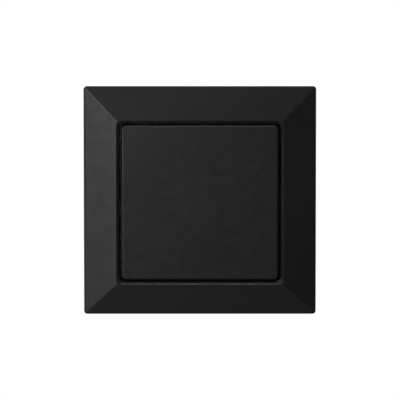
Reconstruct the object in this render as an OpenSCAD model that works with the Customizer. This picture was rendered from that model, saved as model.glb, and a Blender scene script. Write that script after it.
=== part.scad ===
// Rocker switch with a sprung centre position, for a flush round wall box.
// Bench frame: x right, y up the wall, z out of the wall. z = 0 is the wall face,
// and the origin is the centre of the box screws. place() turns this to the part's own frame.

/* [Cover frame] */
// Side of the square cover frame
frame_w = 81; // [79:0.5:84]
// Height of the raised inner crest above the wall
crest_z = 9.3; // [9:0.1:9.8]
// Height of the outer front edge above the wall
edge_z = 5.4; // [5:0.1:5.6]
// Size of the rounding between the side wall and the sloping front
edge_round = 0.7; // [0.5:0.1:0.8]
// How far the side wall leans in towards the wall face
side_lean = 1.2; // [0.8:0.1:1.4]
// Side of the square opening
opening_w = 56.6; // [56.2:0.1:57]
// Width of the bevel round the opening
rim_bevel = 0.85; // [0.4:0.05:1]
// Wall thickness of the frame moulding
frame_wall = 2; // [1.6:0.1:2.2]
// Radius of the outer upright corners
frame_corner_r = 1.2; // [0.6:0.1:2]

/* [Rocker cap] */
// Side of the square rocker cap
rocker_w = 54.8; // [54.2:0.1:55]
// Height of the rocker face above the wall
rocker_z = 9.4; // [9.2:0.1:9.8]
// Rounding of the face's edges
rocker_edge_r = 0.75; // [0.5:0.05:1]
// Radius of the rocker's corners in front view
rocker_corner_r = 1.5; // [1.2:0.1:2]
// Skin thickness of the cap
rocker_wall = 1.8; // [1.4:0.1:2]
// Height of the cap's open lower edge above the wall
skirt_z = 5; // [4.8:0.1:5.4]

/* [Toggle] */
// Height of the tilt axis above the wall
pivot_z = 3.6; // [3.5:0.05:3.7]
// Radius of the pivot pins
pin_r = 1.5; // [1.3:0.05:1.6]
// Radial clearance of the pivot pins in their bores
pin_gap = 0.05; // [0.03:0.01:0.08]
// Radius of the contact plunger
plunger_r = 2; // [1.9:0.05:2.1]
// Distance of the return springs from the tilt axis
return_y = 11.5; // [11:0.1:12]

/* [Contacts] */
// Distance of the plunger tip's centre below the tilt axis
tip_drop = 10.2; // [10:0.05:10.4]
// Distance from the contact arm's own pivot to the centre of its trough
trough_rise = 4.4; // [4.3:0.05:4.5]
// Distance of the moving contacts from the arm's pivot
contact_y = 10.5; // [10.2:0.1:10.8]
// Thickness of the brass bars and the arm
strip_t = 0.8; // [0.7:0.05:0.9]

/* [Support ring] */
// Side of the square steel ring
ring_w = 71; // [70:0.5:72]
// Thickness of the steel
ring_t = 1.2; // [1:0.1:1.3]
// Distance across the centre between opposite box screws
screw_pitch = 60; // [59.5:0.1:60.5]
// Radius of the box screw holes
screw_hole_r = 1.75; // [1.6:0.05:2]

/* [Mechanism base] */
// Width of the moulded base
base_w = 39; // [38.8:0.1:39.2]
// Height of the moulded base
base_h = 42; // [41.8:0.1:42.4]
// Depth of the base behind the wall face
base_d = 19.6; // [19.4:0.1:20]
// Thickness of the plate that closes the rear
rear_t = 2.4; // [2:0.1:2.6]
// Radius of the wire entries
wire_hole_r = 1.45; // [1.3:0.05:1.6]

/* [Claws] */
// Distance of the claw screws from the centre
claw_x = 23.4; // [23.2:0.1:23.6]
// Radius of the claw screws' shank
claw_screw_r = 1.5; // [1.4:0.05:1.55]
// Depth of the claw nuts at rest, behind the wall face
claw_z = 17; // [16.8:0.1:17.2]

/* [Hidden] */
$fn = 48;
eps = 0.01;
past = 1;
frame_h = frame_w / 2;
front_h = frame_h - edge_round;
rear_h = frame_h - side_lean;
open_h = opening_w / 2;
crest_h = open_h + rim_bevel;
open_corner_r = 2.2;
crest_corner_r = 1.4;
rib_half = 0.6;
rib_at = [-24, -8, 8, 24];
tube_h = open_h + 1.4;
tube_z = 4.5;
slope_drop = frame_wall * 1.07;
rocker_h = rocker_w / 2;
face_h = rocker_h - rocker_edge_r;
under_z = rocker_z - rocker_wall;
notch_rise = 1;
plate_x = 12.2;
plate_y = 15.5;
plate_z0 = 2.6;
plate_z1 = 5;
stem_r = 3.5;
stem_z = -4.5;
bore_gap = 0.08;
spring_top = 3.4;
pocket_r = 2.6;
pocket_floor = -0.9;
deck_z = 0.8;
tip_z = pivot_z - tip_drop;
arm_z = tip_z - trough_rise;
trough_r = plunger_r + 0.15;
knife_r = 0.6;
notch_gap = 0.05;
ear_x = 3.2;
tongue_z = -14.5;
fixed_tip_z = -14;
fixed_tip_y = contact_y + 0.1;
common_floor_z = -16.8;
dome_r = 1.4;
dome_round = 3;
bar_x = 7.3;
wire_x = bar_x + strip_t + wire_hole_r + 0.05;
lever_x = 14.2;
side_y = 10.5;
wire_step = 3.5;
lever_end = 23;
lever_top = -7.4;
leaf_t = 0.4;
nut_r = 2.2;
cheek_in = 3.6;
cheek_out = 4.8;
lug_y = 14;
stake_x = base_w / 2 - 1.6;
stake_y = base_h / 2 - 1.4;
black = "#2b2b2d";
steel = "#b4b7ba";
brass = "#c9a44c";
grey = "#d9dad6";
amber = "#d9822b";

// Turns the bench frame to the part's frame: wall face to y = 0, front to -y, up to +z.
module place() {
    rotate([90, 0, 0]) children();
}

// Centred square of half-width hx by hy with corner radius r.
module rounded(hx, hy, r) {
    square([2 * hx, 2 * (hy - r)], center = true);
    square([2 * (hx - r), 2 * hy], center = true);
    for (x = [-1, 1], y = [-1, 1])
        translate([x * (hx - r), y * (hy - r)]) circle(r = r);
}

module slab(hx, hy, r, z0, z1) {
    translate([0, 0, z0]) linear_extrude(z1 - z0) rounded(hx, hy, r);
}

module box(x0, x1, y0, y1, z0, z1) {
    translate([x0, y0, z0]) cube([x1 - x0, y1 - y0, z1 - z0]);
}

// An x-z outline drawn out along y, centred.
module along_y(len) {
    rotate([90, 0, 0]) linear_extrude(len, center = true) children();
}

// A y-z outline drawn out along x, centred.
module along_x(len) {
    rotate([90, 0, 90]) linear_extrude(len, center = true) children();
}

// The overlap of one outline drawn out both ways: a body with four like sides.
module four_sided(len) {
    intersection() {
        along_y(len) children();
        along_x(len) children();
    }
}

// Outline of a strip of thickness t along a line of points p, mitred at each bend.
function unit(v) = v / norm(v);
function offset_at(p, i) =
    let (last = len(p) - 1,
         a = unit(i > 0 ? p[i] - p[i - 1] : p[1] - p[0]),
         b = unit(i < last ? p[i + 1] - p[i] : p[last] - p[last - 1]),
         m = unit(a + b))
    [-m[1], m[0]] / (m * a);
function band(p, t) = concat([for (i = [0 : len(p) - 1]) p[i] + offset_at(p, i) * t / 2],
                             [for (i = [len(p) - 1 : -1 : 0]) p[i] - offset_at(p, i) * t / 2]);
function arc(centre, r, a0, a1, steps) =
    [for (i = [0 : steps]) let (a = a0 + (a1 - a0) * i / steps) centre + r * [cos(a), sin(a)]];

// A half outline and its mirror image about x = 0, as one closed outline.
function both_ways(half) = concat(half, [for (i = [len(half) - 1 : -1 : 0]) [-half[i][0], half[i][1]]]);

// Coil spring with closed ends, its axis along z.
coil_steps = 14;
wire_sides = 6;
function coil_z(u, turns, r, length) =
    let (shut = 2.2 * r, open = (length - 2 * r - 2 * shut) / (turns - 2))
    r + shut * min(u, 1) + open * max(0, min(u - 1, turns - 2)) + shut * max(0, u - turns + 1);

module coil(big_r, r, turns, z0, z1) {
    steps = turns * coil_steps;
    n = wire_sides;
    points = [for (i = [0 : steps], j = [0 : n - 1])
        let (a = 360 * i / coil_steps, b = 360 * j / n, d = big_r + r * cos(b))
        [d * cos(a), d * sin(a), z0 + coil_z(i / coil_steps, turns, r, z1 - z0) + r * sin(b)]];
    skin = [for (i = [0 : steps - 1], j = [0 : n - 1], half = [0, 1])
        let (k = (j + 1) % n, p = i * n, q = p + n)
        half == 0 ? [p + j, p + k, q + k] : [p + j, q + k, q + j]];
    start = [for (j = [n - 1 : -1 : 0]) j];
    end = [for (j = [0 : n - 1]) steps * n + j];
    polyhedron(points = points, faces = concat(skin, [start, end]), convexity = 8);
}

// The frame is widest just under its front edge, and its side walls lean in from there to the wall.
module frame_outline() {
    cut = edge_round * 0.3;
    half = [[rear_h, 0], [frame_h, edge_z - edge_round], [frame_h - cut, edge_z - cut], [front_h, edge_z],
            [crest_h, crest_z]];
    polygon(both_ways(half));
}

module frame_hollow_outline() {
    low = edge_z - slope_drop + 0.7;
    high = crest_z - slope_drop - 0.1;
    polygon(both_ways([[rear_h - frame_wall, -past], [front_h - frame_wall, low], [open_h, high]]));
}

// The opening with its bevelled front rim. The bevel is wider at the corners than along the sides.
module frame_opening() {
    slab(open_h, open_h, open_corner_r, -past, crest_z + past);
    hull($fn = 32) {
        slab(open_h, open_h, open_corner_r, crest_z - rim_bevel, crest_z - rim_bevel + eps);
        slab(crest_h, crest_h, crest_corner_r, crest_z, crest_z + eps);
    }
}

// One spring hook of the frame, on the +x side.
module frame_hook() {
    along_y(5) {
        polygon([[34, 2.4], [34, 3.3], [33.2, 3.5], [33.2, 4.1], [34, 4.1], [34, 6],
                 [35.2, 6], [35.2, 3], [34.6, 2.4]]);
    }
}

module cover_frame() {
    color(black) place() {
        difference() {
            intersection() {
                four_sided(frame_w + past) frame_outline();
                slab(frame_h, frame_h, frame_corner_r, -past, crest_z + past);
            }
            difference() {
                intersection() {
                    four_sided(frame_w) frame_hollow_outline();
                    slab(frame_h, frame_h, 1, -2 * past, crest_z);
                }
                slab(tube_h, tube_h, open_corner_r + 1.4, tube_z, crest_z + past);
                for (turn = [0 : 90 : 270], at = rib_at)
                    rotate(turn)
                        box(at - rib_half, at + rib_half, tube_h - eps, frame_h - 1, tube_z + 1, crest_z);
                for (x = [-1, 1], y = [-1, 1]) scale_side(x) translate([0, y * lug_y, 0]) frame_hook();
            }
            frame_opening();
        }
    }
}

// Keeps or mirrors its children to the +x or -x side.
module scale_side(side) {
    mirror([side < 0 ? 1 : 0, 0, 0]) children();
}

module support_ring() {
    through = ring_t + 2 * past;
    color(steel) place() {
        difference() {
            slab(ring_w / 2, ring_w / 2, 3, 0, ring_t);
            slab(15, 17, 1, -past, ring_t + past);
            for (x = [-1, 1], y = [-1, 1]) {
                translate([x * stake_x, y * stake_y, -past]) cylinder(r = 1.3, h = through);
                box(min(x * 33.6, x * 37), max(x * 33.6, x * 37), y * lug_y - 5, y * lug_y + 5, -past, 2);
            }
            for (x = [-1, 1])
                translate([x * claw_x, 0, -past]) cylinder(r = claw_screw_r + bore_gap, h = through);
            for (turn = [0 : 90 : 270])
                rotate(turn) translate([screw_pitch / 2, 0, -past]) cylinder(r = screw_hole_r, h = through);
        }
        for (x = [-1, 1], y = [-1, 1])
            scale_side(x) difference() {
                box(32.4, 33.6, y * lug_y - 4, y * lug_y + 4, ring_t, 4.8);
                box(32, 34, y * lug_y - 2.8, y * lug_y + 2.8, 3.1, 4.3);
            }
    }
}

// Rocker cap's outer form, with a rounded edge round the face.
module cap_outer() {
    c = rocker_h - rocker_corner_r;
    side_z = rocker_z - rocker_edge_r;
    slab(rocker_h, rocker_h, rocker_corner_r, skirt_z, side_z);
    slab(face_h, face_h, rocker_corner_r - rocker_edge_r, skirt_z, rocker_z);
    for (turn = [0 : 90 : 270])
        rotate(turn) {
            translate([face_h, 0, side_z]) rotate([90, 0, 0])
                cylinder(r = rocker_edge_r, h = 2 * c, center = true);
            translate([c, c, side_z]) rotate_extrude()
                translate([rocker_corner_r - rocker_edge_r, 0]) intersection() {
                    circle(r = rocker_edge_r);
                    translate([0, -rocker_edge_r]) square(2 * rocker_edge_r);
                }
        }
}

// Clip leg of the cap, on the +x side.
module cap_clip() {
    along_y(5)
        polygon([[7.4, under_z + 0.5], [7.4, 1.7], [8.2, 1.4], [9.4, 2.2], [9.4, 2.5], [8.6, 2.5],
                 [8.6, under_z + 0.5]]);
}

module rocker_cap() {
    inner = rocker_h - rocker_wall;
    color(black) place() {
        difference() {
            cap_outer();
            slab(inner, inner, 0.5, skirt_z - past, under_z);
            for (turn = [0, 180])
                rotate(turn)
                    box(-4.6, 4.6, inner - 0.7, rocker_h + past, skirt_z - past, skirt_z + notch_rise);
        }
        difference() {
            slab(11.6, 14.4, 0.6, 5.05, under_z + 0.2);
            slab(10.4, 13.2, 0.3, 4, under_z + 1);
        }
        for (turn = [0, 180]) {
            rotate(turn) cap_clip();
            for (x = [-18, 0, 18])
                rotate(turn) box(x - 0.6, x + 0.6, 14.3, inner + 0.2, 6.4, under_z + 0.2);
            for (y = [-16, 16])
                rotate(turn) box(11.5, inner + 0.2, y - 0.6, y + 0.6, 6.4, under_z + 0.2);
        }
    }
}

module toggle() {
    color(grey) place() {
        difference() {
            union() {
                slab(plate_x, plate_y, 1, plate_z0, plate_z1);
                translate([0, 0, stem_z]) cylinder(r = stem_r, h = plate_z1 - stem_z);
                for (turn = [0, 180])
                    rotate(turn) translate([plate_x - 0.2, 0, pivot_z]) rotate([0, 90, 0])
                        cylinder(r = pin_r, h = 2.4);
            }
            translate([0, 0, stem_z - past])
                cylinder(r = plunger_r + bore_gap, h = spring_top - stem_z + past);
            for (y = [-1, 1])
                translate([0, y * return_y, plate_z0 - past]) cylinder(r = pocket_r, h = past + 1.4);
            for (x = [-1, 1], y = [-1, 1])
                translate([x * 7.2, y * 9.6, plate_z0 - past]) slab(3.4, 4, 0.6, 0, past + 1.2);
            for (x = [-1, 1])
                scale_side(x) box(7, 8.9, -2.8, 2.8, 0, plate_z1 + past);
        }
    }
}

module plunger() {
    color("#8c3b2e") place() {
        translate([0, 0, tip_z]) {
            sphere(r = plunger_r);
            cylinder(r = plunger_r, h = 5);
            cylinder(r = plunger_r - 0.8, h = 6.4);
        }
    }
}

module contact_spring() {
    color(steel) place() coil(1.65, 0.2, 6, tip_z + 5.02, spring_top - 0.02);
}

module return_spring(side) {
    color(steel) place() translate([0, side * return_y, 0])
        coil(1.9, 0.25, 5.5, pocket_floor + 0.02, plate_z0 + 1.38);
}

module return_spring_upper() {
    return_spring(1);
}

module return_spring_lower() {
    return_spring(-1);
}

module bearing_cover() {
    color(grey) place() {
        difference() {
            union() {
                slab(base_w / 2 - 3.3, base_h / 2 - 2.8, 0.8, -1.5, -0.1);
                slab(14.7, 16.7, 0.8, -1.5, deck_z);
                for (x = [-1, 1])
                    scale_side(x) {
                        box(12.5, 14.7, -3.4, 3.4, -0.5, pivot_z);
                        translate([12.5, 0, pivot_z]) rotate([0, 90, 0]) cylinder(r = 2.6, h = 2.2);
                        box(12.9, 14.7, -5.4, 5.4, 0, 1.6);
                    }
            }
            translate([0, 0, pivot_z]) rotate([0, 90, 0])
                cylinder(r = pin_r + pin_gap, h = base_w, center = true);
            slab(4.8, 5.8, 1, -2 * past, 2);
            for (y = [-1, 1])
                translate([0, y * return_y, pocket_floor]) cylinder(r = pocket_r, h = 3);
        }
    }
}

// Bearing rail for one claw cheek: a wedge that turns the claw out as its nut comes forward.
module claw_ramp() {
    x0 = base_w / 2 - 0.5;
    rotate([90, 0, 0]) linear_extrude(cheek_out - cheek_in + 0.2, center = true)
        polygon([[x0, -11], [base_w / 2, -11], [20.4, -9.5], [23.7, -2.1], [23.7, -0.4], [x0, -0.4]]);
}

module mechanism_base() {
    cheek_mid = (cheek_in + cheek_out) / 2;
    color(grey) place() {
        difference() {
            slab(base_w / 2, base_h / 2, 1.2, -base_d, 0);
            slab(base_w / 2 - 3.2, base_h / 2 - 2.7, 0.8, -1.6, past);
            slab(5.5, 15, 0.5, -base_d - past, past);
            for (y = [-1, 1]) {
                box(-4.5, 4.5, y * 17.6 - 1, y * 17.6 + 1, -base_d - past, -1.5);
                box(-18, -7, y * side_y - 7.5, y * side_y + 7.5, -base_d - past, -1.5);
                box(7, 18, y * 13.75 - 4.25, y * 13.75 + 4.25, -base_d - past, -1.5);
                box(-8, -5, y * side_y - 1.8, y * side_y + 1.8, -base_d - past, tongue_z + 0.1);
            }
            box(-18, -7, -1.5, 1.5, -base_d - past, -1.5);
            box(7, 18, -8, 8, -base_d - past, -1.5);
            box(5, 8, -2.6, 2.6, -base_d - past, common_floor_z + 0.1);
        }
        for (x = [-1, 1], y = [-1, 1]) {
            scale_side(x) translate([0, y * cheek_mid, 0]) claw_ramp();
            translate([x * stake_x, y * stake_y, -0.5]) cylinder(r = 1.25, h = ring_t + 0.6);
            translate([x * stake_x, y * stake_y, ring_t]) cylinder(r1 = 2, r2 = 1.5, h = 0.7);
        }
    }
}

// Closes the base, with a round entry for each wire and a slot for each release lever.
module rear_plate() {
    top = -base_d;
    end = top - rear_t;
    color(grey) place() {
        difference() {
            slab(base_w / 2, base_h / 2, 1.2, end, top);
            for (y = [-side_y - wire_step, -side_y + wire_step, side_y - wire_step, side_y + wire_step])
                translate([-wire_x, y, end - past]) cylinder(r = wire_hole_r, h = rear_t + 2 * past);
            for (y = [-wire_step, wire_step])
                translate([wire_x, y, end - past]) cylinder(r = wire_hole_r, h = rear_t + 2 * past);
            for (at = [[-lever_x, side_y], [-lever_x, -side_y], [lever_x, 0]])
                translate([at[0], at[1], 0]) slab(1.7, 2.7, 0.3, end - past, top + past);
        }
    }
}

module contact_arm() {
    top = [trough_r + strip_t / 2 + 0.6, tip_z - 0.25];
    leg = concat([[trough_r + strip_t / 2, tip_z - 0.5]], arc(top, 0.6, 180, 20, 6),
                 [[5.4, arm_z + 0.5], [5.9, arm_z], [12.2, arm_z]]);
    color(brass) place() {
        along_x(5) {
            difference() {
                translate([0, tip_z]) circle(r = trough_r + strip_t);
                translate([0, tip_z]) circle(r = trough_r);
                translate([-5, tip_z]) square([10, 5]);
            }
            for (side = [-1, 1])
                polygon(band([for (at = leg) [side * at[0], at[1]]], strip_t));
        }
        box(-1.5, 1.5, -0.6, 0.6, arm_z, tip_z - trough_r - 0.3);
        translate([0, 0, arm_z]) rotate([0, 90, 0]) cylinder(r = knife_r, h = 9, center = true);
    }
}

// Domed silver rivet head on a plane at z0, its crown at z1.
module dome(z0, z1) {
    side = z1 > z0 ? 1 : -1;
    intersection() {
        translate([0, 0, min(z0, z1)]) cylinder(r = dome_r, h = abs(z1 - z0));
        translate([0, 0, z1 - side * dome_round]) sphere(r = dome_round);
    }
}

module arm_tips() {
    z0 = arm_z - strip_t / 2;
    color("#d8d6cf") place()
        for (y = [-1, 1]) translate([0, y * contact_y, 0]) dome(z0, z0 - 0.6);
}

module bar_tips() {
    color("#d8d6cf") place()
        for (y = [-1, 1]) translate([0, y * fixed_tip_y, 0]) dome(tongue_z, fixed_tip_z);
}

module common_bar() {
    low = common_floor_z - strip_t;
    notch_z = arm_z - (knife_r + notch_gap) * sqrt(2);
    color(brass) place() {
        box(-ear_x - strip_t, bar_x + strip_t, -2.4, 2.4, low, common_floor_z);
        box(bar_x, bar_x + strip_t, -7.6, 7.6, low, -4);
        for (x = [-1, 1])
            scale_side(x) difference() {
                box(ear_x, ear_x + strip_t, -2.4, 2.4, low, arm_z + 1.1);
                translate([ear_x + strip_t / 2, 0, 0]) along_x(2)
                    polygon([[0, notch_z], [3, notch_z + 3], [-3, notch_z + 3]]);
            }
    }
}

// One side contact: a tongue under the moving contact and a plate that the wires lie on.
module side_bar(side) {
    color(brass) place() {
        box(-bar_x - strip_t, 1.8, side * side_y - 1.6, side * side_y + 1.6, tongue_z - strip_t, tongue_z);
        box(-bar_x - strip_t, -bar_x, side * side_y - 6.5, side * side_y + 6.5, -17, -4);
    }
}

module upper_bar() {
    side_bar(1);
}

module lower_bar() {
    side_bar(-1);
}

// Leaf spring with a tongue for each of two wires, on the +x side, about y = 0.
module clamp_spring() {
    loop = concat([[17.6, -17]], arc([16.4, -5.8], 1.2, 0, 128, 8), [[8.75, -10.1]]);
    color(steel) difference() {
        along_y(11.6) polygon(band(loop, leaf_t));
        box(8, 15.2, -1.2, 1.2, -12, -4);
    }
}

module clamp_spring_common() {
    place() clamp_spring();
}

module clamp_spring_upper() {
    place() translate([0, side_y, 0]) scale_side(-1) clamp_spring();
}

module clamp_spring_lower() {
    place() translate([0, -side_y, 0]) scale_side(-1) clamp_spring();
}

// Release lever on the +x side, about y = 0: a button at the rear and a blade under the spring.
module release_lever() {
    color(amber) translate([lever_x, 0, 0]) difference() {
        union() {
            slab(1.5, 2.5, 0.3, -lever_end, 0.3 - base_d);
            slab(1.2, 5.3, 0.3, 0.3 - base_d, lever_top);
        }
        box(-0.5, 0.5, -1.6, 1.6, -lever_end - past, -lever_end + 0.6);
        slab(0.5, 2.6, 0.3, lever_top - 5, lever_top + past);
    }
}

module release_lever_common() {
    place() release_lever();
}

module release_lever_upper() {
    place() translate([0, side_y, 0]) scale_side(-1) release_lever();
}

module release_lever_lower() {
    place() translate([0, -side_y, 0]) scale_side(-1) release_lever();
}

// Screw that turns in the ring, held by its head and by a collar behind the steel.
module claw_screw(side) {
    head_z = ring_t + 0.05;
    color(steel) place() translate([side * claw_x, 0, 0]) difference() {
        union() {
            translate([0, 0, head_z]) cylinder(r = 2.8, h = 1.3);
            translate([0, 0, head_z + 1.3]) cylinder(r1 = 2.8, r2 = 2.1, h = 0.6);
            translate([0, 0, 0.6 - base_d]) cylinder(r = claw_screw_r, h = base_d + 1);
            translate([0, 0, -base_d]) cylinder(r1 = claw_screw_r - 0.5, r2 = claw_screw_r, h = 0.6);
            translate([0, 0, -1]) cylinder(r = 2.3, h = 0.9);
        }
        for (turn = [0, 90]) rotate(turn) box(-1.7, 1.7, -0.4, 0.4, head_z + 0.8, head_z + 3);
    }
}

module claw_screw_left() {
    claw_screw(-1);
}

module claw_screw_right() {
    claw_screw(1);
}

// Round cross nut: threaded across for the screw, with a pin at each end for the claw.
module claw_nut(side) {
    color(steel) place() translate([side * claw_x, 0, -claw_z]) difference() {
        rotate([90, 0, 0]) {
            cylinder(r = nut_r, h = 2 * cheek_in - 0.6, center = true);
            cylinder(r = 1.2, h = 2 * cheek_out + 0.2, center = true);
        }
        cylinder(r = claw_screw_r + 0.05, h = 10, center = true);
    }
}

module claw_nut_left() {
    claw_nut(-1);
}

module claw_nut_right() {
    claw_nut(1);
}

// Spreading claw on the +x side, folded from sheet: two cheeks on the nut's pins and a toothed web.
module claw_body() {
    thick = cheek_out - cheek_in;
    mid = (cheek_in + cheek_out) / 2;
    difference() {
        union() {
            for (y = [-mid, mid])
                translate([0, y, 0]) rotate([90, 0, 0]) linear_extrude(thick, center = true) {
                    circle(r = 2.4);
                    polygon([[-2, 0], [-2, 5.4], [-2.6, 6.6], [-2.6, 7.5], [4.2, 7.5], [4.2, -1.2],
                             [0, -2.4]]);
                }
            box(3, 4.2, -cheek_out, cheek_out, -1.2, 8);
            for (y = [-3.2, 0, 3.2])
                translate([0, y, 0]) along_y(2) polygon([[4, 6.4], [5, 8], [4, 8]]);
        }
        rotate([90, 0, 0]) cylinder(r = 1.25, h = 20, center = true);
    }
}

module claw(side) {
    color(steel) place() translate([side * claw_x, 0, -claw_z]) scale_side(side) claw_body();
}

module claw_left() {
    claw(-1);
}

module claw_right() {
    claw(1);
}

cover_frame();
support_ring();
rocker_cap();
toggle();
plunger();
contact_spring();
return_spring_upper();
return_spring_lower();
bearing_cover();
mechanism_base();
rear_plate();
contact_arm();
arm_tips();
common_bar();
upper_bar();
lower_bar();
bar_tips();
clamp_spring_common();
clamp_spring_upper();
clamp_spring_lower();
release_lever_common();
release_lever_upper();
release_lever_lower();
claw_screw_left();
claw_screw_right();
claw_nut_left();
claw_nut_right();
claw_left();
claw_right();
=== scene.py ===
"""Rocker wall switch: finished pieces, materials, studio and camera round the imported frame.

Lengths named *_mm are millimetres. The wall face is y = 0, the switch faces -y and +z is up the wall.
"""
import math

import bmesh
import bpy
from mathutils import Matrix, Vector


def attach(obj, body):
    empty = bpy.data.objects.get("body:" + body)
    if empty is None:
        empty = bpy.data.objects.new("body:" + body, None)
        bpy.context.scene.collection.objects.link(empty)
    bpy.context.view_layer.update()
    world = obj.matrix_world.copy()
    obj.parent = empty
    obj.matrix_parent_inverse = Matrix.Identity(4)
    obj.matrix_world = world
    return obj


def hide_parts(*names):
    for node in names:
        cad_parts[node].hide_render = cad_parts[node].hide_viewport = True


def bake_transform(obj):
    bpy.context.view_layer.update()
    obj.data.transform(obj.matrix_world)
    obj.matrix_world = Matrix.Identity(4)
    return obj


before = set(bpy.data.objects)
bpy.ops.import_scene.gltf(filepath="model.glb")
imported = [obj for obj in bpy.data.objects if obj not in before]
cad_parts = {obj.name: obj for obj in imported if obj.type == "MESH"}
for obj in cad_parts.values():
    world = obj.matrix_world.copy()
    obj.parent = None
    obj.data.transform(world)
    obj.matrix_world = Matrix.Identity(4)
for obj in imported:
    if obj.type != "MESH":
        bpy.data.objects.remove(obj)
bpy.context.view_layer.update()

MM = 0.001
MERGE = 0.002 * MM
FLAT_ANGLE = math.radians(0.6)
EDGE_ANGLE = math.radians(28)
SHARP_ANGLE = math.radians(38)
NOISE_SPREAD = (0.3, 0.7)  # most of a noise texture's values lie in here


# ---------------------------------------------------------------- materials

def linear(code):
    """sRGB hex to a linear colour with alpha."""
    parts = [int(code[i : i + 2], 16) / 255 for i in (1, 3, 5)]
    return [c / 12.92 if c <= 0.04045 else ((c + 0.055) / 1.055) ** 2.4 for c in parts] + [1.0]


def add(tree, kind, settings):
    """Adds a node, or takes one that is there; sets its settings and links those given a socket."""
    node = tree.nodes.new(kind) if isinstance(kind, str) else kind
    for key, value in settings.items():
        if isinstance(value, bpy.types.NodeSocket):
            tree.links.new(value, node.inputs[key])
        elif isinstance(key, int) or key in node.inputs:
            node.inputs[key].default_value = value
        else:
            setattr(node, key, value)
    return node


def start(name):
    """A new material with its tree, its shader and the piece's own coordinates."""
    material = bpy.data.materials.new(name)
    material.use_nodes = True
    tree = material.node_tree
    where = add(tree, "ShaderNodeTexCoord", {}).outputs["Object"]
    return material, tree, tree.nodes["Principled BSDF"], where


def noise(tree, where, size_mm, detail=2.0, **more):
    """Soft cloudy noise, its features about size_mm across."""
    return add(tree, "ShaderNodeTexNoise", {"Vector": where, "Scale": 1 / (size_mm * MM), "Detail": detail,
                                            **more}).outputs["Fac"]


def tones(tree, amount, dark, light):
    """A colour that goes from dark to light with amount."""
    return add(tree, "ShaderNodeMix", {"data_type": "RGBA", 0: amount,
                                       6: linear(dark), 7: linear(light)}).outputs[2]


def gloss(tree, amount, low, high, spread=NOISE_SPREAD):
    """A roughness that goes from low to high as amount crosses its spread."""
    return add(tree, "ShaderNodeMapRange", {"Value": amount, "From Min": spread[0], "From Max": spread[1],
                                            "To Min": low, "To Max": high}).outputs["Result"]


def relief(tree, height, depth_mm):
    """A surface that rises and falls by depth_mm with height."""
    return add(tree, "ShaderNodeBump", {"Height": height, "Distance": depth_mm * MM}).outputs["Normal"]


def grained_plastic(name, dark, light, roughness, grain_mm, depth_mm, ior=1.5):
    """Moulded plastic with a spark-eroded tool grain: an even satin with a fine, soft sparkle."""
    material, tree, surface, where = start(name)
    patch = noise(tree, where, 3)
    grain = noise(tree, where, grain_mm, Roughness=0.6)
    add(tree, surface, {"Base Color": tones(tree, noise(tree, where, 22, 3.0), dark, light),
                        "Roughness": gloss(tree, patch, roughness - 0.05, roughness + 0.05),
                        "Normal": relief(tree, grain, depth_mm), "IOR": ior})
    return material


def smooth_plastic(name, dark, light, roughness):
    """Engineering plastic from a polished tool: faint flow clouds and a soft shine."""
    material, tree, surface, where = start(name)
    patch = noise(tree, where, 1.5)
    ripple = noise(tree, where, 0.6)
    add(tree, surface, {"Base Color": tones(tree, noise(tree, where, 6), dark, light),
                        "Roughness": gloss(tree, patch, roughness - 0.05, roughness + 0.05),
                        "Normal": relief(tree, ripple, 0.006), "IOR": 1.53})
    return material


def galvanised_sheet(name):
    """Hot-dip galvanised sheet: pale grey zinc crystals a few millimetres across, each with its own tone."""
    material, tree, surface, where = start(name)
    cells = add(tree, "ShaderNodeTexVoronoi", {"Vector": where, "Scale": 1 / (3.2 * MM)})
    crystal = add(tree, "ShaderNodeSeparateColor", {"Color": cells.outputs["Color"]}).outputs["Red"]
    add(tree, surface, {"Base Color": tones(tree, crystal, "#A3A7AA", "#C2C5C7"),
                        "Roughness": gloss(tree, crystal, 0.34, 0.46, spread=(0, 1)),
                        "Normal": relief(tree, noise(tree, where, 0.5), 0.004), "Metallic": 1.0})
    return material


def plated_steel(name, dark, light, roughness):
    """Plated or drawn metal: bright, with a slight orange peel."""
    material, tree, surface, where = start(name)
    patch = noise(tree, where, 0.7)
    peel = noise(tree, where, 0.35)
    add(tree, surface, {"Base Color": tones(tree, noise(tree, where, 1.8, 3.0), dark, light),
                        "Roughness": gloss(tree, patch, roughness - 0.06, roughness + 0.06),
                        "Normal": relief(tree, peel, 0.004), "Metallic": 1.0})
    return material


def rolled_strip(name, dark, light, roughness, along):
    """Cold-rolled strip: fine rolling lines that run one way and stretch the highlights across them."""
    material, tree, surface, where = start(name)
    stretch = [1 / (25 * MM) if axis == along else 1 / (1.1 * MM) for axis in range(3)]
    lines = add(tree, "ShaderNodeMapping", {"Vector": where, "Scale": stretch})
    streak = add(tree, "ShaderNodeTexNoise", {"Vector": lines.outputs["Vector"], "Scale": 5.0,
                                              "Detail": 3.0}).outputs["Fac"]
    add(tree, surface, {"Base Color": tones(tree, streak, dark, light),
                        "Roughness": gloss(tree, streak, roughness - 0.05, roughness + 0.07),
                        "Normal": relief(tree, streak, 0.003), "Metallic": 1.0})
    return material


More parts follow.
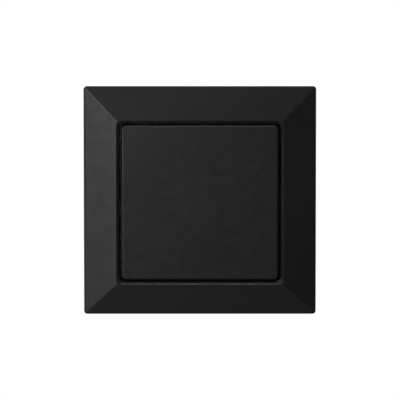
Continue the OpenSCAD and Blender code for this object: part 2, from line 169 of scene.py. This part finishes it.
# The blacks' grain is drawn at 0.35 mm, coarse enough to show.
FRAME_BLACK = grained_plastic("satin_black_moulded_abs", "#202020", "#2C2C2C", 0.42, 0.35, 0.018)
ROCKER_BLACK = grained_plastic("satin_black_rocker_abs", "#202020", "#2C2C2C", 0.42, 0.35, 0.018)
GREY_POLYAMIDE = grained_plastic("moulded_grey_polyamide", "#BFC0BC", "#C9CAC5", 0.48, 0.5, 0.012, 1.53)
WHITE_POLYAMIDE = grained_plastic("moulded_white_polyamide", "#DAD9D3", "#E3E2DC", 0.46, 0.5, 0.012, 1.53)
AMBER_POLYAMIDE = smooth_plastic("moulded_amber_polyamide", "#C96F1C", "#DB8128", 0.38)
RED_ACETAL = smooth_plastic("turned_red_acetal", "#8A2F22", "#983A2B", 0.3)
ZINC_SHEET = galvanised_sheet("hot_dip_galvanised_sheet")
ZINC_STEEL = plated_steel("zinc_plated_steel", "#AEB2B6", "#C6CACD", 0.3)
CLAW_STEEL = plated_steel("zinc_plated_pressed_steel", "#9FA3A7", "#B9BDC0", 0.36)
SPRING_STEEL = rolled_strip("rolled_stainless_spring_strip", "#A9ABAC", "#C4C6C6", 0.26, 2)
SPRING_WIRE = plated_steel("drawn_stainless_spring_wire", "#A2A4A6", "#BDBFC0", 0.27)
BRASS_STRIP = rolled_strip("rolled_brass_strip", "#B98F42", "#D0A657", 0.28, 2)
CONTACT_SILVER = plated_steel("pressed_contact_silver", "#D2D1CC", "#E6E5E0", 0.24)


# ---------------------------------------------------------------- modelling helpers

BLOCK_EDGE_MM = 0.15
CORNER_STEPS = 8


def publish(name, bm, body, material, replaced, gives=None):
    """Makes the finished mesh a piece: its material, its body and the node it stands for, which it hides.

    A spring names two bodies and gives is a pair of points; such a piece is only fixed where it stands,
    joined to no body, and nothing moves it.
    """
    mesh = bpy.data.meshes.new(name)
    for face in bm.faces:
        face.smooth = True
    bm.to_mesh(mesh)
    bm.free()
    mesh.materials.append(material)
    mesh.set_sharp_from_angle(angle=SHARP_ANGLE)
    piece = bpy.data.objects.new(name, mesh)
    bpy.context.scene.collection.objects.link(piece)
    shade = piece.modifiers.new("flat_faces_stay_flat", "WEIGHTED_NORMAL")
    shade.keep_sharp = True
    if gives:
        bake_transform(piece)
    else:
        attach(piece, body)
    for node in replaced:
        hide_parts(node)


def square_loop(bm, half_mm, corner_mm, height_mm):
    """Edges of a rounded square parallel to the wall, its corners rounded by a vertex bevel."""
    made = bmesh.ops.create_grid(bm, x_segments=1, y_segments=1, size=half_mm * MM)
    turn = Matrix.Translation((0, -height_mm * MM, 0)) @ Matrix.Rotation(math.radians(90), 4, "X")
    bmesh.ops.transform(bm, matrix=turn, verts=made["verts"])
    face = made["verts"][0].link_faces[0]
    cut = bmesh.ops.bevel(bm, geom=list(face.verts), offset=corner_mm * MM, segments=CORNER_STEPS,
                          profile=0.5, affect="VERTICES", material=-1)
    face = max(cut["verts"][0].link_faces, key=lambda f: f.calc_area())
    edges = list(face.edges)
    bmesh.ops.delete(bm, geom=[face], context="FACES_ONLY")
    return edges


def bridge_all(bm, loops, heights, closed=False):
    """Joins each loop of edges to the next, and the last to the first where the section closes.

    Loops at one height are joined first, while they are bare: bridge_loops turns a flat ring over
    when its loops already carry faces.
    """
    pairs = [(i, i + 1) for i in range(len(loops) - 1)]
    if closed:
        pairs.append((len(loops) - 1, 0))
    for a, b in sorted(pairs, key=lambda pair: heights[pair[0]] != heights[pair[1]]):
        bmesh.ops.bridge_loops(bm, edges=loops[a] + loops[b])


def round_loop(bm, edges, width_mm, steps=3):
    """Rounds the edges of one loop."""
    live = [e for e in edges if e.is_valid]
    bmesh.ops.bevel(bm, geom=live, offset=width_mm * MM, segments=steps, profile=0.5, affect="EDGES",
                    material=-1, clamp_overlap=True)


def edges_of(verts):
    """Every edge of these points once, in the same order on each run, which a set would not keep."""
    return list(dict.fromkeys(edge for vert in verts for edge in vert.link_edges))


def block(bm, x, y_out, z):
    """A small moulded block with rounded edges, by its millimetre ranges; y_out counts out of the wall."""
    made = bmesh.ops.create_cube(bm, size=1.0)
    size = Vector((x[1] - x[0], y_out[1] - y_out[0], z[1] - z[0])) * MM
    middle = Vector((x[1] + x[0], -(y_out[1] + y_out[0]), z[1] + z[0])) * MM / 2
    fit = Matrix.Translation(middle) @ Matrix.Diagonal((*size, 1.0))
    bmesh.ops.transform(bm, matrix=fit, verts=made["verts"])
    bmesh.ops.bevel(bm, geom=edges_of(made["verts"]), offset=BLOCK_EDGE_MM * MM, segments=2, profile=0.5,
                    affect="EDGES", material=-1)


def profile_bar(bm, points, thickness_mm, middle, turned=0, edge_mm=0.1):
    """A flat outline in x and height, drawn out along z, then turned round the switch's axis."""
    corners = [bm.verts.new((x * MM, -height * MM, (middle - thickness_mm / 2) * MM)) for x, height in points]
    face = bm.faces.new(corners)
    grown = bmesh.ops.extrude_face_region(bm, geom=[face])
    top = [g for g in grown["geom"] if isinstance(g, bmesh.types.BMVert)]
    bmesh.ops.translate(bm, verts=top, vec=(0, 0, thickness_mm * MM))
    body = corners + top
    sides = dict.fromkeys(side for vert in body for side in vert.link_faces)
    bmesh.ops.recalc_face_normals(bm, faces=list(sides))
    bmesh.ops.rotate(bm, verts=body, cent=(0, 0, 0), matrix=Matrix.Rotation(turned, 3, "Y"))
    bmesh.ops.bevel(bm, geom=edges_of(body), offset=edge_mm * MM, segments=2, profile=0.5, affect="EDGES",
                    material=-1)


# ---------------------------------------------------------------- cover frame

WIDEST_HALF = 40.5
CREST_HALF = 29.15
CREST = 9.3
OPEN_HALF = 28.3
OPEN_REAR_HALF = 28.0
TUBE_HALF = 29.7
TUBE_END = 4.5
QUARTERS = [turn * math.pi / 2 for turn in range(4)]


def cover_frame():
    bm = bmesh.new()
    sections = [  # half side, corner radius, height, edge rounding
        (39.3, 0.5, 0.0, 0.2), (WIDEST_HALF, 1.2, 4.75, 0.1), (40.33, 1.0, 5.15, 0.08),
        (39.9, 0.5, 5.37, 0.12), (CREST_HALF, 0.12, CREST, 0.0), (CREST_HALF - 0.04, 1.8, CREST, 0.12),
        (OPEN_HALF, 2.0, CREST - 0.8, 0.08),
        (OPEN_REAR_HALF, 2.0, TUBE_END, 0.15), (TUBE_HALF, 3.3, TUBE_END, 0.15), (TUBE_HALF, 3.3, 6.6, 0.0),
        (37.8, 1.0, 3.96, 0.0), (37.4, 1.0, 0.0, 0.15),
    ]
    loops = [square_loop(bm, half, corner, height) for half, corner, height, _ in sections]
    bridge_all(bm, loops, [section[2] for section in sections], closed=True)
    for edges, (_, _, _, width) in zip(loops, sections):
        if width:
            round_loop(bm, edges, width)
    bmesh.ops.recalc_face_normals(bm, faces=bm.faces)
    # Stiffening ribs between the inner tube and the slope, then the hooks that snap onto the ring's lugs.
    rib = [(TUBE_HALF - 0.3, 5.5), (33.6, 5.5), (TUBE_HALF - 0.3, 7.4)]
    hook = [(34, 2.4), (34, 3.3), (33.2, 3.5), (33.2, 4.1), (34, 4.1), (34, 6), (35.2, 5.8), (35.2, 3),
            (34.6, 2.4)]
    for angle in QUARTERS:
        for at in (-24, -8, 8, 24):
            profile_bar(bm, rib, 1.2, at, angle, 0.08)
    for angle in QUARTERS[::2]:
        for at in (-14, 14):
            profile_bar(bm, hook, 5, at, angle, 0.08)
    publish("cover_frame_shell", bm, "insert", FRAME_BLACK, ["cover_frame"])


# ---------------------------------------------------------------- rocker cap

CAP_HALF = 27.4
CAP_FACE = 9.4
CAP_SKIN = 1.8
SKIRT = 5.0


def rocker_cap():
    bm = bmesh.new()
    inner = CAP_HALF - CAP_SKIN
    under = CAP_FACE - CAP_SKIN
    sections = [  # half side, corner radius, height, edge rounding
        (inner, 0.5, under, 0.0), (inner, 0.5, SKIRT, 0.15), (CAP_HALF, 1.5, SKIRT, 0.2),
        (CAP_HALF, 1.5, CAP_FACE, 0.75),
    ]
    loops = [square_loop(bm, half, corner, height) for half, corner, height, _ in sections]
    bridge_all(bm, loops, [section[2] for section in sections])
    bmesh.ops.contextual_create(bm, geom=loops[0])
    bmesh.ops.contextual_create(bm, geom=loops[-1])
    round_loop(bm, loops[3], sections[3][3], 6)
    round_loop(bm, loops[1], sections[1][3], 2)
    round_loop(bm, loops[2], sections[2][3], 2)
    bmesh.ops.recalc_face_normals(bm, faces=bm.faces)
    # Under the face: a box of walls, ribs from it to the skirt, and the two hooks that clip to the toggle.
    for side in (-1, 1):
        block(bm, sorted((side * 10.4, side * 11.6)), (5.05, under + 0.2), (-14.4, 14.4))
        block(bm, (-11.6, 11.6), (5.05, under + 0.2), sorted((side * 13.2, side * 14.4)))
        for at in (-18, 0, 18):
            block(bm, (at - 0.6, at + 0.6), (6.4, under + 0.2), sorted((side * 14.3, side * (inner + 0.2))))
        for at in (-16, 16):
            block(bm, sorted((side * 11.5, side * (inner + 0.2))), (6.4, under + 0.2), (at - 0.6, at + 0.6))
    for side in (0, math.pi):
        profile_bar(bm, [(7.4, under + 0.5), (7.4, 1.7), (8.2, 1.4), (9.4, 2.2), (9.4, 2.5), (8.6, 2.5),
                         (8.6, under + 0.5)], 5, 0, side)
    publish("rocker_cap_shell", bm, "rocker", ROCKER_BLACK, ["rocker_cap"])


# ---------------------------------------------------------------- inner pieces, finished from their nodes

def finished(node, body, slot, material, edge_mm):
    """A node's own shape with its loose triangles joined, its flats made whole and its edges broken."""
    bm = bmesh.new()
    bm.from_mesh(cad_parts[node].data)
    bmesh.ops.remove_doubles(bm, verts=bm.verts, dist=MERGE)
    bmesh.ops.dissolve_limit(bm, angle_limit=FLAT_ANGLE, verts=bm.verts, edges=bm.edges)
    sharp = [e for e in bm.edges if len(e.link_faces) == 2 and e.calc_face_angle(0) > EDGE_ANGLE]
    bmesh.ops.bevel(bm, geom=sharp, offset=edge_mm * MM, segments=2, profile=0.5, affect="EDGES", material=-1,
                    clamp_overlap=True)
    publish(node + "_finished", bm, body, material, [node])


def sprung(node, bodies, material, start_mm, end_mm, cuts_mm=()):
    """A spring between two bodies, fixed where it stands: nothing here makes its ends follow their bodies or
    its length give.

    A leaf is cut across at cuts_mm, so that its straight leg has points enough to bend.
    """
    bm = bmesh.new()
    bm.from_mesh(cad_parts[node].data)
    bmesh.ops.remove_doubles(bm, verts=bm.verts, dist=MERGE)
    for x in cuts_mm:
        bmesh.ops.bisect_plane(bm, geom=bm.verts[:] + bm.edges[:] + bm.faces[:], plane_co=(x * MM, 0, 0),
                               plane_no=(1, 0, 0))
    points = [Vector(point) * MM for point in (start_mm, end_mm)]
    publish(node + "_finished", bm, bodies, material, [node], points)


INNER = [
    ("support_ring", "insert", "ring_steel", ZINC_SHEET, 0.12),
    ("mechanism_base", "insert", "insert_plastic", GREY_POLYAMIDE, 0.15),
    ("rear_plate", "insert", "insert_plastic", GREY_POLYAMIDE, 0.15),
    ("bearing_cover", "insert", "insert_plastic", WHITE_POLYAMIDE, 0.15),
    ("toggle", "rocker", "toggle_plastic", WHITE_POLYAMIDE, 0.15),
    ("plunger", "plunger", "plunger_plastic", RED_ACETAL, 0.08),
    ("contact_arm", "contact_arm", "contact_brass", BRASS_STRIP, 0.06),
    ("common_bar", "insert", "contact_brass", BRASS_STRIP, 0.08),
    ("upper_bar", "insert", "contact_brass", BRASS_STRIP, 0.08),
    ("lower_bar", "insert", "contact_brass", BRASS_STRIP, 0.08),
    ("release_lever_common", "lever_common", "lever_plastic", AMBER_POLYAMIDE, 0.12),
    ("release_lever_upper", "lever_upper", "lever_plastic", AMBER_POLYAMIDE, 0.12),
    ("release_lever_lower", "lever_lower", "lever_plastic", AMBER_POLYAMIDE, 0.12),
    ("claw_left", "claw_left", "claw_steel", CLAW_STEEL, 0.1),
    ("claw_right", "claw_right", "claw_steel", CLAW_STEEL, 0.1),
    ("claw_nut_left", "nut_left", "zinc_steel", ZINC_STEEL, 0.1),
    ("claw_nut_right", "nut_right", "zinc_steel", ZINC_STEEL, 0.1),
    ("claw_screw_left", "screw_left", "zinc_steel", ZINC_STEEL, 0.1),
    ("claw_screw_right", "screw_right", "zinc_steel", ZINC_STEEL, 0.1),
]

LEAF_CUTS = [16, 15.5, 15, 14.5, 14, 13.5, 13, 12]
SPRUNG = [  # node, the bodies at its two ends, where it starts to give and where it has given all
    ("contact_spring", ("rocker", "plunger"), SPRING_WIRE, (0, -3.35, 0), (0, 1.55, 0)),
    ("return_spring_upper", ("insert", "rocker"), SPRING_WIRE, (0, 0.85, 11.5), (0, -3.95, 11.5)),
    ("return_spring_lower", ("insert", "rocker"), SPRING_WIRE, (0, 0.85, -11.5), (0, -3.95, -11.5)),
    ("clamp_spring_common", ("insert", "lever_common"), SPRING_STEEL, (16.4, 0, 0), (13, 0, 0), LEAF_CUTS),
    ("clamp_spring_upper", ("insert", "lever_upper"), SPRING_STEEL, (-16.4, 0, 0), (-13, 0, 0),
     [-x for x in LEAF_CUTS]),
    ("clamp_spring_lower", ("insert", "lever_lower"), SPRING_STEEL, (-16.4, 0, 0), (-13, 0, 0),
     [-x for x in LEAF_CUTS]),
]

KEPT = {"arm_tips": CONTACT_SILVER, "bar_tips": CONTACT_SILVER}

cover_frame()
rocker_cap()
for row in INNER:
    finished(*row)
for row in SPRUNG:
    sprung(*row)
for name, material in KEPT.items():
    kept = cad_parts[name]
    kept.data.materials.clear()
    kept.data.materials.append(material)


# ---------------------------------------------------------------- studio

DISTANCE = 2.6
SENSOR_MM = 36
VIEW_WIDTH_MM = 139.52
RISE_DEG = 11.3
AIM_MM = (0.03, -4.7, 0.1)
FLOOR_SIZE = 6.0
FLOOR_Z = -0.6
ROOM_LIGHT = 0.003

# Softboxes: place in metres, size in metres, watts. The nearest at the left gives about half of the face's
# light and grades it, the grazing one draws the rocker's upper edge and the opening's lower bevel, and the
# two behind light the insert when it is seen from the back.
SOFTBOXES = [
    ("near_left", (-0.14, -0.24, 0.04), (0.12, 0.12), 0.209),
    ("near_top_left", (-0.08, -0.2, 0.06), (0.1, 0.1), 0.02),
    ("low_left", (-0.3, -0.4, -0.1), (0.2, 0.15), 0.181),
    ("low", (-0.1, -0.4, -0.3), (0.15, 0.15), 0.059),
    ("far_low_right", (0.3, -0.9, -0.3), (0.4, 0.4), 0.109),
    ("top", (0, -0.3, 0.3), (0.2, 0.2), 0.034),
    ("right", (0.3, -0.3, 0.03), (0.2, 0.2), 0.02),
    ("grazing_top", (0, -0.11, 0.42), (0.15, 0.15), 0.34),
    ("behind_left", (-0.2, 0.28, 0.17), (0.15, 0.15), 0.65),
    ("behind_right", (0.24, 0.24, 0.04), (0.15, 0.15), 0.4),
]


def studio():
    scene = bpy.context.scene
    scene.view_settings.view_transform = "Standard"
    scene.view_settings.look = "None"
    # A pale paper floor well below the switch.
    bm = bmesh.new()
    bmesh.ops.create_grid(bm, x_segments=1, y_segments=1, size=FLOOR_SIZE)
    bmesh.ops.translate(bm, verts=bm.verts, vec=(0, 0, FLOOR_Z))
    mesh = bpy.data.meshes.new("floor")
    bm.to_mesh(mesh)
    bm.free()
    paper, tree, surface, where = start("pale_paper")
    pulp = noise(tree, where, 400)
    add(tree, surface, {"Base Color": tones(tree, pulp, "#F1F1F0", "#F6F6F5"), "Roughness": 0.9})
    # The paper shines in the camera's own rays only, so that it stays pale and throws little light up.
    glow = add(tree, "ShaderNodeEmission", {"Color": (1, 1, 1, 1), "Strength": 1.0})
    seen = add(tree, "ShaderNodeLightPath", {}).outputs["Is Camera Ray"]
    mix = add(tree, "ShaderNodeMixShader", {0: seen, 1: surface.outputs[0], 2: glow.outputs[0]})
    add(tree, tree.nodes["Material Output"], {0: mix.outputs[0]})
    mesh.materials.append(paper)
    floor = bpy.data.objects.new("floor", mesh)
    scene.collection.objects.link(floor)
    world = bpy.data.worlds.new("studio")
    world.use_nodes = True
    sky = world.node_tree
    room = add(sky, sky.nodes["Background"], {"Color": (1, 1, 1, 1), "Strength": ROOM_LIGHT})
    white = add(sky, "ShaderNodeBackground", {"Color": (1, 1, 1, 1), "Strength": 1.0})
    seen = add(sky, "ShaderNodeLightPath", {}).outputs["Is Camera Ray"]
    pick = add(sky, "ShaderNodeMixShader", {0: seen, 1: room.outputs[0], 2: white.outputs[0]})
    add(sky, sky.nodes["World Output"], {0: pick.outputs[0]})
    scene.world = world

    for name, place, size, watts in SOFTBOXES:
        light = bpy.data.lights.new(name, "AREA")
        light.shape = "RECTANGLE"
        light.size, light.size_y = size
        light.energy = watts
        lamp = bpy.data.objects.new(name, light)
        lamp.location = place
        lamp.rotation_euler = (-Vector(place)).to_track_quat("-Z", "Y").to_euler()
        lamp.visible_camera = False
        scene.collection.objects.link(lamp)

    # A long lens, square to the switch from side to side and looking down on it.
    lens = bpy.data.cameras.new("long_lens")
    lens.sensor_width = SENSOR_MM
    lens.lens = SENSOR_MM * DISTANCE / (VIEW_WIDTH_MM * MM)
    lens.clip_end = 50
    eye = bpy.data.objects.new("camera", lens)
    rise = math.radians(RISE_DEG)
    target = Vector(AIM_MM) * MM
    out = Vector((0, -math.cos(rise), math.sin(rise)))
    eye.location = target + DISTANCE * out
    eye.rotation_euler = (-out).to_track_quat("-Z", "Y").to_euler()
    scene.collection.objects.link(eye)
    scene.camera = eye


studio()
